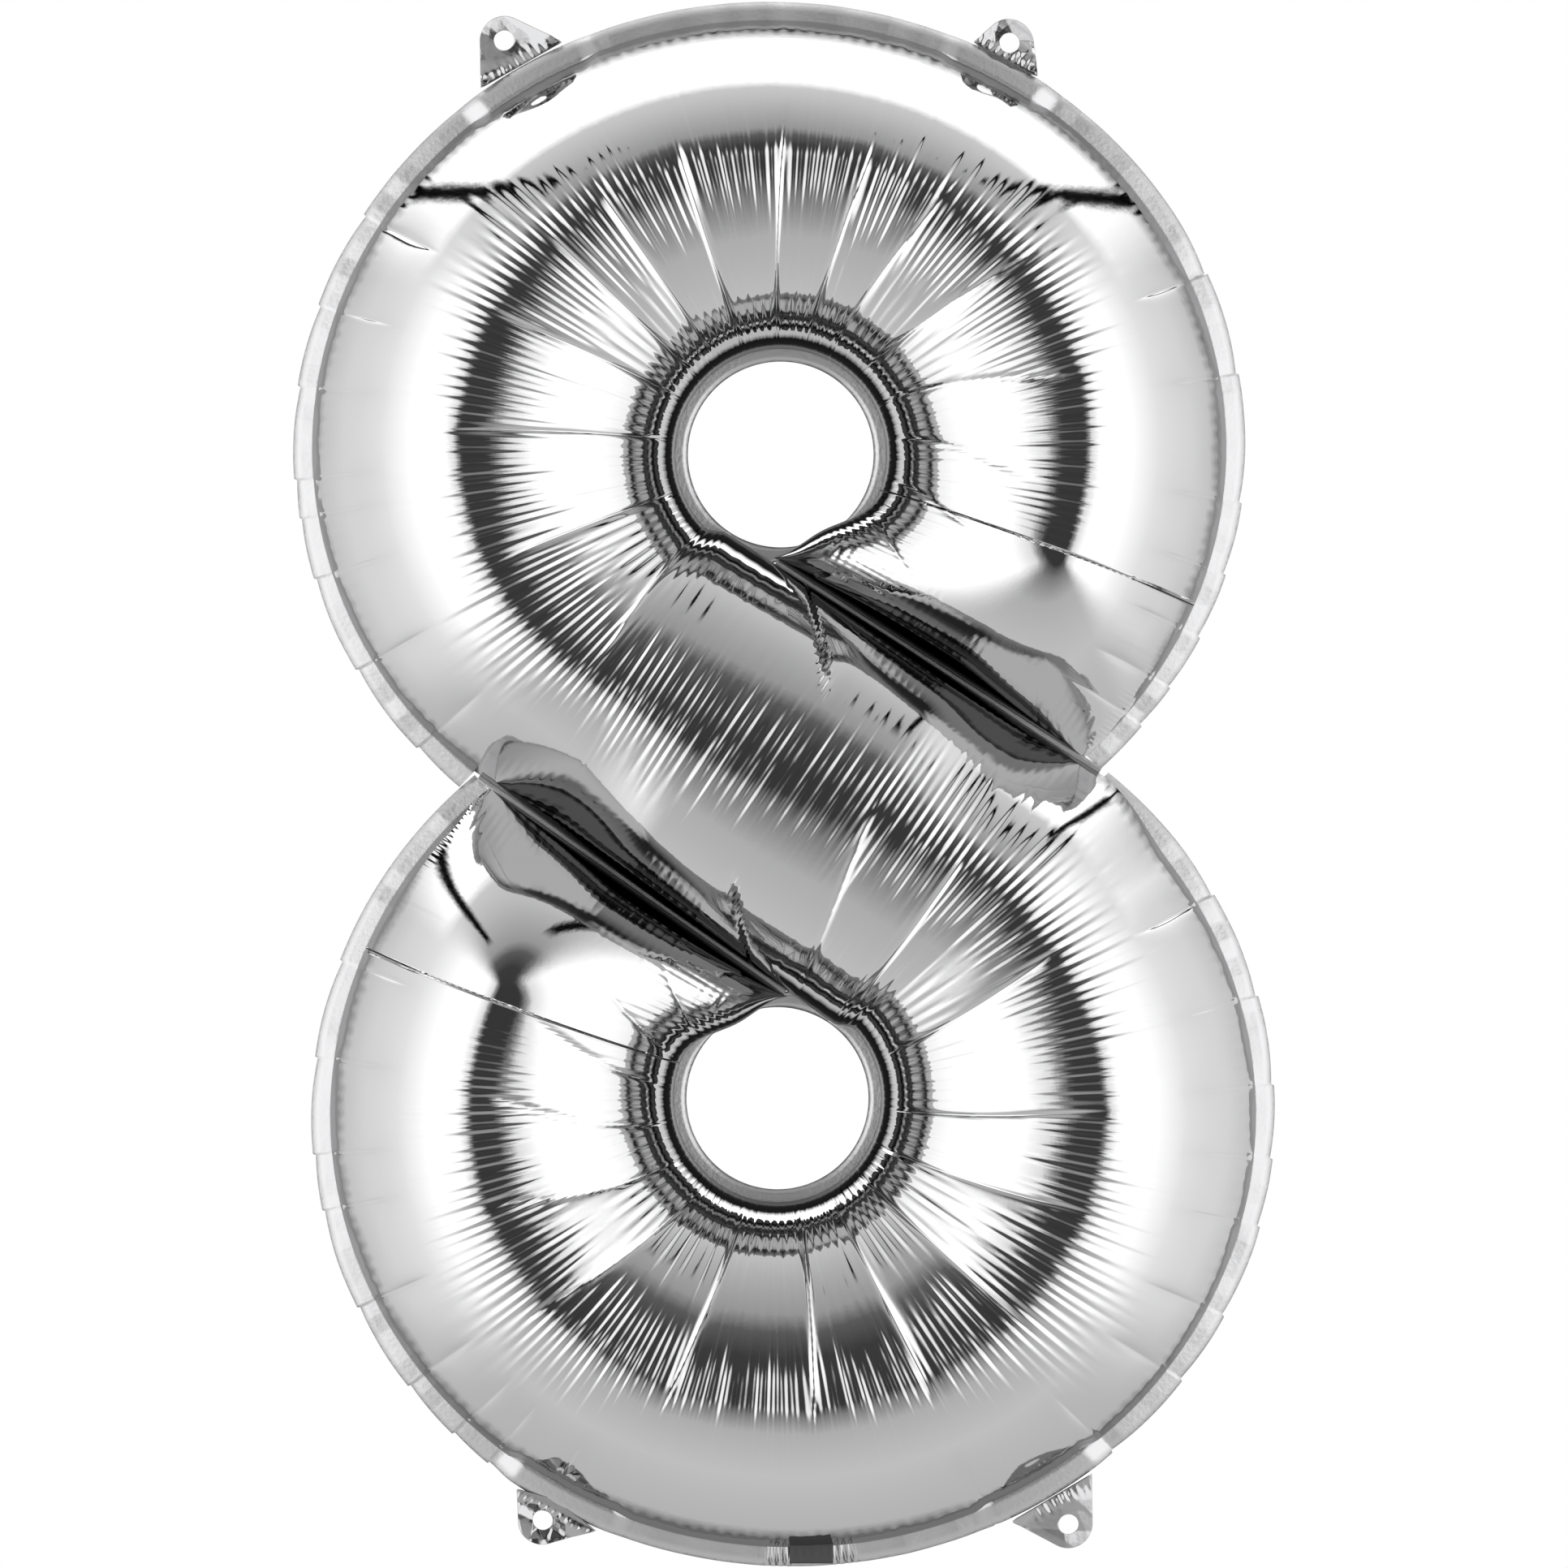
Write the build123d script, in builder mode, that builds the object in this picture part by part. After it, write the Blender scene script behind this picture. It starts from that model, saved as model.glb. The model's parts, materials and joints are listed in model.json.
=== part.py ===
"""A foil number balloon, the digit 8, inflated.

Two foil panels are heat-sealed into one S-shaped tube. The tube starts at the right waist
notch, runs round the upper ring, crosses down to the lower ring and ends at the left notch.
X is to the right, +Z is up and -Y is the front. The origin is the middle of the balloon.
"""
from build123d import *
from math import atan2, cos, degrees, hypot, radians, sin, sqrt
import os

# Outline: each ring is an ellipse round a round hole, seen from the front, as (x, z).
UPPER_RIM_CENTRE = (-8.2, 184.6)
UPPER_RIM_RADII = (261.8, 245.4)
UPPER_HOLE_CENTRE = (-1.8, 181.0)
UPPER_HOLE_RADIUS = 51.0
LOWER_RIM_CENTRE = (5.0, -181.6)
LOWER_RIM_RADII = (265.0, 248.4)
LOWER_HOLE_CENTRE = (-3.6, -172.6)
LOWER_HOLE_RADIUS = 50.0
RIGHT_NOTCH = (177.0, 5.0)
LEFT_NOTCH = (-171.0, 6.0)

# Heat-seal bands.
RIM_SEAL_WIDTH = 10.8
HOLE_SEAL_WIDTH = 7.0
WAIST_SEAL_HALF_WIDTH = 6.0
SEAL_THICKNESS = 1.0
SEAL_LAP = 4.0
SLIT_WIDTH = 1.2  # the waist seal is cut open along its middle, next to the hole
SLIT_SHARE = 0.45
WAIST_OVERRUN = 40.0  # the waist seal's bar starts this far beyond its notch, then is trimmed

# The inflated tube. Its foil is thicker than the real 0.04 mm, so that its mesh stays closed.
RING_HALF_DEPTH = 84.0
STROKE_HALF_DEPTH = 87.0
RING_CREST = 0.56  # share of a ring's tube, from the hole side, where it is deepest
STROKE_CREST = 0.5
SECTION_STEP = 15  # degrees between the tube's sections round a ring
UPPER_RUN = (90, 210)  # where the long run of tube starts and ends on the upper ring
LOWER_RUN = (30, -90)
ARM_TURN = 210  # how far each arm turns round its hole before the waist seal cuts it off
ARM_END_RISE = 85.0  # how far from the waist seal an arm is at its full depth
ARM_SPAN = 700.0
FOIL_THICKNESS = 1.0

# Hanging tabs. Each is rooted on its ring's rim at an angle of the ellipse. Its hole is so far
# along the fold line and so far out from it, and its root is so wide each way.
TAB_HOLE_RADIUS = 5.5
TAB_HEAD_RADIUS = 13.5
TAB_FOLD_GAP = 1.2
TAB_ROOT_DEPTH = 2.0
TAB_TRIM = 100.0  # wider than any tab
TABS = {
    "hang_tab_top_left": {"ring": "upper", "root": 121.2, "along": -1.8, "out": 17.6, "half": 26},
    "hang_tab_top_right": {"ring": "upper", "root": 60.3, "along": -2.4, "out": 9.5, "half": 20},
    "hang_tab_bottom_left": {"ring": "lower", "root": 240.7, "along": 4.1, "out": 9.4, "half": 25},
    "hang_tab_bottom_right": {"ring": "lower", "root": 302.3, "along": -0.6, "out": 18.2, "half": 26},
}

# Self-sealing valve in the bottom seam: a flat sleeve through the seal, then two loose films.
INLET_X = 15.0
INLET_WIDTH = 24.0
INLET_THICKNESS = 1.6
INLET_SLIT_WIDTH = 19.0
INLET_SLIT_GAP = 0.4
INLET_BOTTOM_Z = -428.6
INLET_TOP_Z = -404.0
VALVE_LENGTH = 78.0
VALVE_WIDTH = 30.0
VALVE_THICKNESS = 0.5
VALVE_GAP = 0.6
VALVE_FOLD_GAP = 0.5

os.makedirs("parts", exist_ok=True)


def tangent_angle(point, centre, radius):
    """Direction, in degrees, from a circle's centre to where a line from point touches it."""
    dx, dz = point[0] - centre[0], point[1] - centre[1]
    along = sqrt(hypot(dx, dz) ** 2 - radius**2)
    return degrees(atan2(dz, dx) - atan2(along, radius))


# Each waist seal runs from its notch and touches the far side of the hole.
UPPER_WAIST_NORMAL = tangent_angle(RIGHT_NOTCH, UPPER_HOLE_CENTRE, UPPER_HOLE_RADIUS)
LOWER_WAIST_NORMAL = tangent_angle(LEFT_NOTCH, LOWER_HOLE_CENTRE, LOWER_HOLE_RADIUS)


def rim_reach(centre, angle, rim_centre, rim_radii):
    """Distance from a hole's centre to the rim ellipse, along a direction."""
    ux, uz = cos(radians(angle)), sin(radians(angle))
    px, pz = centre[0] - rim_centre[0], centre[1] - rim_centre[1]
    a, b = rim_radii
    square = (ux / a) ** 2 + (uz / b) ** 2
    linear = px * ux / a**2 + pz * uz / b**2
    rest = (px / a) ** 2 + (pz / b) ** 2 - 1
    return (sqrt(linear**2 - square * rest) - linear) / square


def line_reach(centre, normal, through):
    """Distance from a hole's centre to a line, given the line's normal and a point on it."""
    away = Vector(through[0] - centre[0], through[1] - centre[1])
    return away.dot(Vector(cos(radians(normal)), sin(radians(normal))))


def section_plane(centre, angle, outward=1):
    """A plane across the tube. Its x runs away from the hole's centre, or towards it for -1."""
    ux, uz = outward * cos(radians(angle)), outward * sin(radians(angle))
    return Plane(origin=(centre[0], 0, centre[1]), x_dir=(ux, 0, uz), z_dir=(-uz, 0, ux))


def tube_section(plane, start, end, half_depth, crest):
    """The inflated tube's section between its two seams, as a face."""
    deepest = start + crest * (end - start)
    with BuildSketch(plane) as section:
        with BuildLine():
            Spline((start, 0), (deepest, half_depth), (end, 0), tangents=[(0, 1), (0, -1)])
            Spline((end, 0), (deepest, -half_depth), (start, 0), tangents=[(0, -1), (0, 1)])
        make_face()
    return section.sketch.face()


def stroke_solid(skin):
    """The long run of tube: upper ring's top and left, the diagonal, lower ring's right."""
    upper_start = UPPER_HOLE_RADIUS + HOLE_SEAL_WIDTH + skin
    lower_start = LOWER_HOLE_RADIUS + HOLE_SEAL_WIDTH + skin
    ring_depth, stroke_depth = RING_HALF_DEPTH - skin, STROKE_HALF_DEPTH - skin
    diagonal_inset = WAIST_SEAL_HALF_WIDTH + skin
    sections = []
    for angle in range(UPPER_RUN[0], UPPER_RUN[1] + 1, SECTION_STEP):
        rim = rim_reach(UPPER_HOLE_CENTRE, angle, UPPER_RIM_CENTRE, UPPER_RIM_RADII)
        end = rim - RIM_SEAL_WIDTH - skin
        plane = section_plane(UPPER_HOLE_CENTRE, angle)
        sections.append(tube_section(plane, upper_start, end, ring_depth, RING_CREST))
    end = line_reach(UPPER_HOLE_CENTRE, LOWER_WAIST_NORMAL + 180, LEFT_NOTCH) - diagonal_inset
    plane = section_plane(UPPER_HOLE_CENTRE, UPPER_WAIST_NORMAL)
    sections.append(tube_section(plane, upper_start, end, stroke_depth, STROKE_CREST))
    end = line_reach(LOWER_HOLE_CENTRE, UPPER_WAIST_NORMAL + 180, RIGHT_NOTCH) - diagonal_inset
    plane = section_plane(LOWER_HOLE_CENTRE, LOWER_WAIST_NORMAL, outward=-1)
    sections.append(tube_section(plane, -end, -lower_start, stroke_depth, STROKE_CREST))
    for angle in range(LOWER_RUN[0], LOWER_RUN[1] - 1, -SECTION_STEP):
        rim = rim_reach(LOWER_HOLE_CENTRE, angle, LOWER_RIM_CENTRE, LOWER_RIM_RADII)
        end = rim - RIM_SEAL_WIDTH - skin
        plane = section_plane(LOWER_HOLE_CENTRE, angle, outward=-1)
        sections.append(tube_section(plane, -end, -lower_start, ring_depth, 1 - RING_CREST))
    with BuildPart() as stroke:
        loft(sections)
    return stroke.part


def arm_solid(skin, hole, hole_radius, rim_centre, rim_radii, notch, waist_normal, first_angle):
    """The tube's last run, which tapers to nothing along the waist seal."""
    start = hole_radius + HOLE_SEAL_WIDTH + skin
    depth = RING_HALF_DEPTH - skin
    full_depth = STROKE_HALF_DEPTH - skin
    waist = Plane(
        origin=(notch[0], 0, notch[1]),
        x_dir=(-cos(radians(waist_normal)), 0, -sin(radians(waist_normal))),
        z_dir=(sin(radians(waist_normal)), 0, -cos(radians(waist_normal))),
    )
    sections = []
    for turn in range(0, ARM_TURN + 1, SECTION_STEP):
        angle = first_angle - turn
        end = rim_reach(hole, angle, rim_centre, rim_radii) - RIM_SEAL_WIDTH - skin
        sections.append(tube_section(section_plane(hole, angle), start, end, depth, RING_CREST))
    with BuildPart() as arm:
        loft(sections)
        with BuildSketch(waist):
            with Locations((WAIST_SEAL_HALF_WIDTH + skin + ARM_END_RISE, 0)):
                Ellipse(ARM_END_RISE, full_depth)
                Rectangle(ARM_SPAN, 2 * full_depth, align=(Align.MIN, Align.CENTER))
        extrude(amount=ARM_SPAN, both=True, mode=Mode.INTERSECT)
    return arm.part


def inflated_solid(skin):
    """The whole tube, pulled in by skin on every side."""
    with BuildPart() as tube:
        add(stroke_solid(skin))
        add(
            arm_solid(
                skin,
                UPPER_HOLE_CENTRE,
                UPPER_HOLE_RADIUS,
                UPPER_RIM_CENTRE,
                UPPER_RIM_RADII,
                RIGHT_NOTCH,
                UPPER_WAIST_NORMAL,
                UPPER_RUN[0],
            )
        )
        add(
            arm_solid(
                skin,
                LOWER_HOLE_CENTRE,
                LOWER_HOLE_RADIUS,
                LOWER_RIM_CENTRE,
                LOWER_RIM_RADII,
                LEFT_NOTCH,
                LOWER_WAIST_NORMAL,
                LOWER_RUN[1],
            )
        )
    return tube.part


OUTSIDE = inflated_solid(0)
GAS_SPACE = inflated_solid(FOIL_THICKNESS)


def save(builder, name):
    """Label a finished piece and write it as a STEP file."""
    builder.part.label = name
    export_step(builder.part, f"parts/{name}.step")


# The inlet sleeve, and the solid space that it takes up in the seam.
INLET_HEIGHT = INLET_TOP_Z - INLET_BOTTOM_Z
INLET_PLACE = (INLET_X, 0, (INLET_TOP_Z + INLET_BOTTOM_Z) / 2)

with BuildPart() as inlet_space:
    with Locations(INLET_PLACE):
        Box(INLET_WIDTH, INLET_THICKNESS, INLET_HEIGHT)

with BuildPart() as inlet_mouth:
    with Locations(INLET_PLACE):
        Box(INLET_WIDTH, INLET_THICKNESS, INLET_HEIGHT)
        Box(INLET_SLIT_WIDTH, INLET_SLIT_GAP, INLET_HEIGHT, mode=Mode.SUBTRACT)
save(inlet_mouth, "inlet_mouth")

# Front and back foil panels, which meet at the seam plane Y = 0.
with BuildPart() as foil:
    add(OUTSIDE)
    add(GAS_SPACE, mode=Mode.SUBTRACT)
    add(inlet_space.part, mode=Mode.SUBTRACT)

with BuildPart() as front_panel:
    add(foil.part)
    split(bisect_by=Plane.XZ, keep=Keep.TOP)
save(front_panel, "front_panel")

with BuildPart() as back_panel:
    add(foil.part)
    split(bisect_by=Plane.XZ, keep=Keep.BOTTOM)
save(back_panel, "back_panel")

# Heat seals, where both panels are one flat laminate. Each blank runs a little way under the
# tube, and the tube is then cut from it.


def rings_sketch(inset):
    """Both rings' outlines, joined at the waist and pulled in by inset."""
    with BuildSketch(Plane.XZ) as rings:
        with Locations(UPPER_RIM_CENTRE):
            Ellipse(UPPER_RIM_RADII[0] - inset, UPPER_RIM_RADII[1] - inset)
        with Locations(LOWER_RIM_CENTRE):
            Ellipse(LOWER_RIM_RADII[0] - inset, LOWER_RIM_RADII[1] - inset)
    return rings.sketch


def waist_plane(notch, waist_normal):
    """A plane in the seam: origin at the notch, x along the waist seal towards the hole."""
    along = (sin(radians(waist_normal)), 0, -cos(radians(waist_normal)))
    return Plane(origin=(notch[0], 0, notch[1]), x_dir=along, z_dir=(0, -1, 0))


def waist_strip(notch, waist_normal, start, end, width):
    """A flat bar along the waist seal's line."""
    with BuildPart() as bar:
        with BuildSketch(waist_plane(notch, waist_normal)):
            with Locations((start, 0)):
                Rectangle(end - start, width, align=(Align.MIN, Align.CENTER))
        extrude(amount=SEAL_THICKNESS / 2, both=True)
    return bar.part


def hole_seam_blank(hole, radius):
    """The ring round a hole."""
    with BuildPart() as blank:
        with BuildSketch(Plane.XZ):
            with Locations(hole):
                Circle(radius + HOLE_SEAL_WIDTH + SEAL_LAP)
                Circle(radius, mode=Mode.SUBTRACT)
        extrude(amount=SEAL_THICKNESS / 2, both=True)
    return blank.part


with BuildPart() as outer_seam:
    with BuildSketch(Plane.XZ):
        add(rings_sketch(0))
        add(rings_sketch(RIM_SEAL_WIDTH + SEAL_LAP), mode=Mode.SUBTRACT)
    extrude(amount=SEAL_THICKNESS / 2, both=True)
    add(OUTSIDE, mode=Mode.SUBTRACT)
    add(inlet_space.part, mode=Mode.SUBTRACT)
save(outer_seam, "outer_seam")

for name, hole, radius, notch, waist_normal in (
    ("upper", UPPER_HOLE_CENTRE, UPPER_HOLE_RADIUS, RIGHT_NOTCH, UPPER_WAIST_NORMAL),
    ("lower", LOWER_HOLE_CENTRE, LOWER_HOLE_RADIUS, LEFT_NOTCH, LOWER_WAIST_NORMAL),
):
    reach = sqrt((notch[0] - hole[0]) ** 2 + (notch[1] - hole[1]) ** 2 - radius**2)
    slit = waist_strip(notch, waist_normal, reach * (1 - SLIT_SHARE), reach, SLIT_WIDTH)
    blank_width = 2 * (WAIST_SEAL_HALF_WIDTH + SEAL_LAP)
    with BuildPart() as hole_seam:
        add(hole_seam_blank(hole, radius))
        add(slit, mode=Mode.SUBTRACT)
        add(OUTSIDE, mode=Mode.SUBTRACT)
    save(hole_seam, f"{name}_hole_seam")
    with BuildPart() as hole_disc:
        with BuildSketch(Plane.XZ):
            with Locations(hole):
                Circle(radius + HOLE_SEAL_WIDTH + SEAL_LAP)
        extrude(amount=SEAL_THICKNESS, both=True)
    with BuildPart() as waist_seam:
        with BuildSketch(Plane.XZ):
            add(rings_sketch(RIM_SEAL_WIDTH + SEAL_LAP))
        extrude(amount=SEAL_THICKNESS / 2, both=True)
        add(waist_strip(notch, waist_normal, -WAIST_OVERRUN, reach, blank_width), mode=Mode.INTERSECT)
        add(hole_disc.part, mode=Mode.SUBTRACT)
        add(slit, mode=Mode.SUBTRACT)
        add(OUTSIDE, mode=Mode.SUBTRACT)
    save(waist_seam, f"{name}_waist_seam")

# Hanging tabs, each folding about the straight line where it leaves the rim.
RINGS = {
    "upper": (UPPER_RIM_CENTRE, UPPER_RIM_RADII),
    "lower": (LOWER_RIM_CENTRE, LOWER_RIM_RADII),
}
for name, tab in TABS.items():
    rim_centre, rim_radii = RINGS[tab["ring"]]
    turn = radians(tab["root"])
    root = (rim_centre[0] + rim_radii[0] * cos(turn), rim_centre[1] + rim_radii[1] * sin(turn))
    out = Vector(cos(turn) / rim_radii[0], 0, sin(turn) / rim_radii[1]).normalized()
    fold = Vector(out.Z, 0, -out.X)
    tab_plane = Plane(origin=(root[0], 0, root[1]), x_dir=fold, z_dir=(0, -1, 0))
    with BuildPart() as hang_tab:
        with BuildSketch(tab_plane):
            with Locations((tab["along"], tab["out"])):
                Circle(TAB_HEAD_RADIUS)
            with Locations((0, TAB_FOLD_GAP + TAB_ROOT_DEPTH / 2)):
                Rectangle(2 * tab["half"], TAB_ROOT_DEPTH)
            make_hull()
            with Locations((0, TAB_FOLD_GAP)):
                Rectangle(TAB_TRIM, TAB_TRIM, align=(Align.CENTER, Align.MAX), mode=Mode.SUBTRACT)
            with Locations((tab["along"], tab["out"])):
                Circle(TAB_HOLE_RADIUS, mode=Mode.SUBTRACT)
        extrude(amount=SEAL_THICKNESS / 2, both=True)
    save(hang_tab, name)

# Self-sealing valve: two loose films that lie face to face inside the tube, above the inlet.
for name, side in (("valve_film_front", -1), ("valve_film_back", 1)):
    with BuildPart() as valve_film:
        offset = side * (VALVE_GAP + VALVE_THICKNESS) / 2
        with Locations((INLET_X, offset, INLET_TOP_Z + VALVE_FOLD_GAP)):
            Box(
                VALVE_WIDTH,
                VALVE_THICKNESS,
                VALVE_LENGTH,
                align=(Align.CENTER, Align.CENTER, Align.MIN),
            )
    save(valve_film, name)
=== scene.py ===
"""Looks of an inflated foil number balloon, the digit 8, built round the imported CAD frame.

The balloon is one S-shaped tube of two metallised films. Hoop lines run across the tube, and
every point of a film is found from its hoop line and its share of the way along that line.
Lengths are in metres and angles in degrees. X is right, Z is up and -Y is the front.
"""

import json
import math

import bpy
import numpy as np
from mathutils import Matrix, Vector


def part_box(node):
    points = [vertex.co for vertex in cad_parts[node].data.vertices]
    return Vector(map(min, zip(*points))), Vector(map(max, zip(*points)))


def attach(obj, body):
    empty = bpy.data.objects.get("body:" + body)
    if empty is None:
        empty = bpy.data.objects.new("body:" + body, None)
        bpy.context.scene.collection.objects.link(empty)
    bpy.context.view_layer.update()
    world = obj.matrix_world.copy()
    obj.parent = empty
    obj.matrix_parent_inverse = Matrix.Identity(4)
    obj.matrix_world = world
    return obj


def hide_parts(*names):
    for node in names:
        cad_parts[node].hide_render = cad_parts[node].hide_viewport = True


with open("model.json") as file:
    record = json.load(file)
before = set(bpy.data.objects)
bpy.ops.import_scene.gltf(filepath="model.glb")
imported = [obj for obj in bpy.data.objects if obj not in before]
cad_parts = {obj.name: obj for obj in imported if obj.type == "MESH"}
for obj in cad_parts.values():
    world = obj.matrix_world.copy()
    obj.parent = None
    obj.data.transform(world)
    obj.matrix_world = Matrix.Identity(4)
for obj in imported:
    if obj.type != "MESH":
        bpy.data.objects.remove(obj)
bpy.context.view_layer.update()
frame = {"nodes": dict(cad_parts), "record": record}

# ---------------------------------------------------------------- sizes


def opening_centre(name):
    """Middle of one of the record's openings, as (x, z)."""
    opening = next(o for o in frame["record"]["physics"]["openings"] if o["name"] == name)
    return np.array(opening["box_m"]).mean(0)[[0, 2]]


def half_width(node):
    low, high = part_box(node)
    return (high.x - low.x) / 2


RIM_LOW, RIM_HIGH = (np.array(corner)[[0, 2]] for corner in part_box("outer_seam"))
UPPER_RADII = np.array((0.2618, 0.2454))
LOWER_RADII = np.array((0.2650, 0.2484))
RIGHT_NOTCH = np.array((0.177, 0.005))
LEFT_NOTCH = np.array((-0.171, 0.006))
RIM_SEAL = 0.0108
HOLE_SEAL = 0.0070
WAIST_SEAL = 0.0014  # half of the waist seal that the tubes leave in sight
TIP_BULGE = 0.010  # how far the tube stands into the hole beside an arm's tip
TIP_ANGLE = -62  # middle of that bulge, and how far it reaches to each side
TIP_REACH = 42
RING_DEPTH = 0.086
STROKE_DEPTH = 0.088
RING_CREST = 0.56  # share of the way from the hole to the rim where a ring is deepest
ARM_RISE = 0.085  # distance from its waist seal over which an arm reaches its full depth
CREST_RADIUS = 0.165  # of a ring, at its crest
ARM_BASE = -20.0  # angle of the hoop line where an arm's end begins
ARM_RUN = 0.18  # length along the tube, at its crest, of an arm's end
RIM_ROUND = 0.60  # share of a quarter ellipse that the outer side takes
WAIST_LEAN = 0.005  # how far the stroke leans over the waist seals
SPACING = 0.0007  # between hoop lines, at the crest
ROWS = 61  # points on a hoop line
ARM_ROWS_PER_ROW = 4  # an arm's end is finer, by this much
ARM_COLUMNS = 150


def unit(angle):
    """Unit vectors in the seam plane."""
    turn = np.radians(angle)
    return np.stack((np.cos(turn), np.sin(turn)), -1)


def smooth(x, low, high):
    """0 below low, 1 above high and a smooth step between."""
    t = np.clip((np.asarray(x, float) - low) / (high - low), 0, 1)
    return t * t * (3 - 2 * t)


def hill(x, middle, reach):
    """A smooth hill of height 1 that ends reach away from its middle."""
    return 0.5 + 0.5 * np.cos(np.pi * np.clip((np.asarray(x, float) - middle) / reach, -1, 1))


def wrap(angle):
    return (np.asarray(angle, float) + 180) % 360 - 180


class Ring:
    """One ring of the 8. The lower ring is the upper one turned half round, so the angles that
    a ring's methods take are always the upper ring's."""

    def __init__(self, hole, tube_edge, rim, radii, notch, turn):
        self.hole, self.tube_edge, self.turn = hole, tube_edge, turn
        self.rim, self.radii, self.notch = rim, radii, notch
        out = notch - hole
        clear = tube_edge - HOLE_SEAL
        along = math.sqrt(out @ out - clear**2)
        normal = math.atan2(out[1], out[0]) - math.atan2(along, clear)
        self.waist_normal = (math.degrees(normal) - turn) % 360

    def direction(self, angle):
        return unit(np.asarray(angle, float) + self.turn)

    def polar(self, point):
        """Angle and distance of points from the hole's centre."""
        d = point - self.hole
        angle = np.degrees(np.arctan2(d[..., 1], d[..., 0])) - self.turn
        return angle % 360, np.hypot(d[..., 0], d[..., 1])

    def rim_reach(self, angle):
        """Distance from the hole's centre to the rim ellipse."""
        u = self.direction(angle)
        p = self.hole - self.rim
        square = ((u / self.radii) ** 2).sum(-1)
        linear = (p * u / self.radii**2).sum(-1)
        rest = ((p / self.radii) ** 2).sum() - 1
        return (np.sqrt(linear**2 - square * rest) - linear) / square

    def edge(self, angle):
        """Distance from the hole's centre to the tube."""
        at_waist = smooth(angle, self.waist_normal - 14, self.waist_normal - 1)
        at_waist = at_waist * (np.asarray(angle) < self.waist_normal + 1)
        seal_left = (HOLE_SEAL - WAIST_SEAL) * at_waist
        return self.tube_edge - seal_left - TIP_BULGE * hill(wrap(angle), TIP_ANGLE, TIP_REACH)

    def from_waist(self, point):
        """How far a point of the arm is from the line of the arm's own waist seal."""
        return -((point - self.notch) @ self.direction(self.waist_normal))

    def far(self, angle):
        """Distance from the hole's centre to the tube's outer side, at the rim or the waist."""
        notch_angle, notch_reach = self.polar(self.other.notch)
        normal = unit(self.other.waist_normal + self.other.turn)
        facing = np.maximum(-(self.direction(angle) @ normal), 0.05)
        waist = (-((self.other.notch - self.hole) @ normal) - WAIST_SEAL) / facing
        # The rim seal narrows to nothing at the notch.
        at_notch = self.rim_reach(notch_angle) - notch_reach + WAIST_SEAL
        past_notch = smooth(notch_angle - np.asarray(angle), 0, 14)
        rim = self.rim_reach(angle) - at_notch - (RIM_SEAL - at_notch) * past_notch
        return np.where(np.asarray(angle) > notch_angle, waist, rim)


upper = Ring(
    opening_centre("upper_ring_hole"),
    half_width("upper_hole_seam"),
    np.array((RIM_LOW[0] + UPPER_RADII[0], RIM_HIGH[1] - UPPER_RADII[1])),
    UPPER_RADII,
    RIGHT_NOTCH,
    0,
)
lower = Ring(
    opening_centre("lower_ring_hole"),
    half_width("lower_hole_seam"),
    np.array((RIM_HIGH[0] - LOWER_RADII[0], RIM_LOW[1] + LOWER_RADII[1])),
    LOWER_RADII,
    LEFT_NOTCH,
    180,
)
upper.other, lower.other = lower, upper

# ---------------------------------------------------------------- the tube's smooth shape


def quarter(x):
    """Height of a tube's side, from 0 at its seam to 1 at its crest."""
    return np.sqrt(np.maximum(1 - (1 - np.clip(x, 0, 1)) ** 2, 0))


def rim_quarter(x):
    """The same for the side at the rim, where the film leaves the seal at a slant."""
    end = math.sqrt(1 - RIM_ROUND**2)
    return (np.sqrt(1 - (RIM_ROUND * (1 - np.clip(x, 0, 1))) ** 2) - end) / (1 - end)


def across(rows):
    """Shares of a hoop line, closer together at both seams, as angles from 0 to pi."""
    return np.linspace(0, math.pi, rows)


def crest_share(a, crest):
    """In-plane share of a hoop line for the profile angle a."""
    rise = crest * (1 - np.cos(a))
    fall = 1 - (1 - crest) * (1 + np.cos(a))
    return np.where(a < math.pi / 2, rise, fall)


def arm_height(ring, point):
    """The arm's depth as a share of its full depth, from the distance to its waist seal."""
    return quarter((ring.from_waist(point) - WAIST_SEAL) / ARM_RISE)


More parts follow.
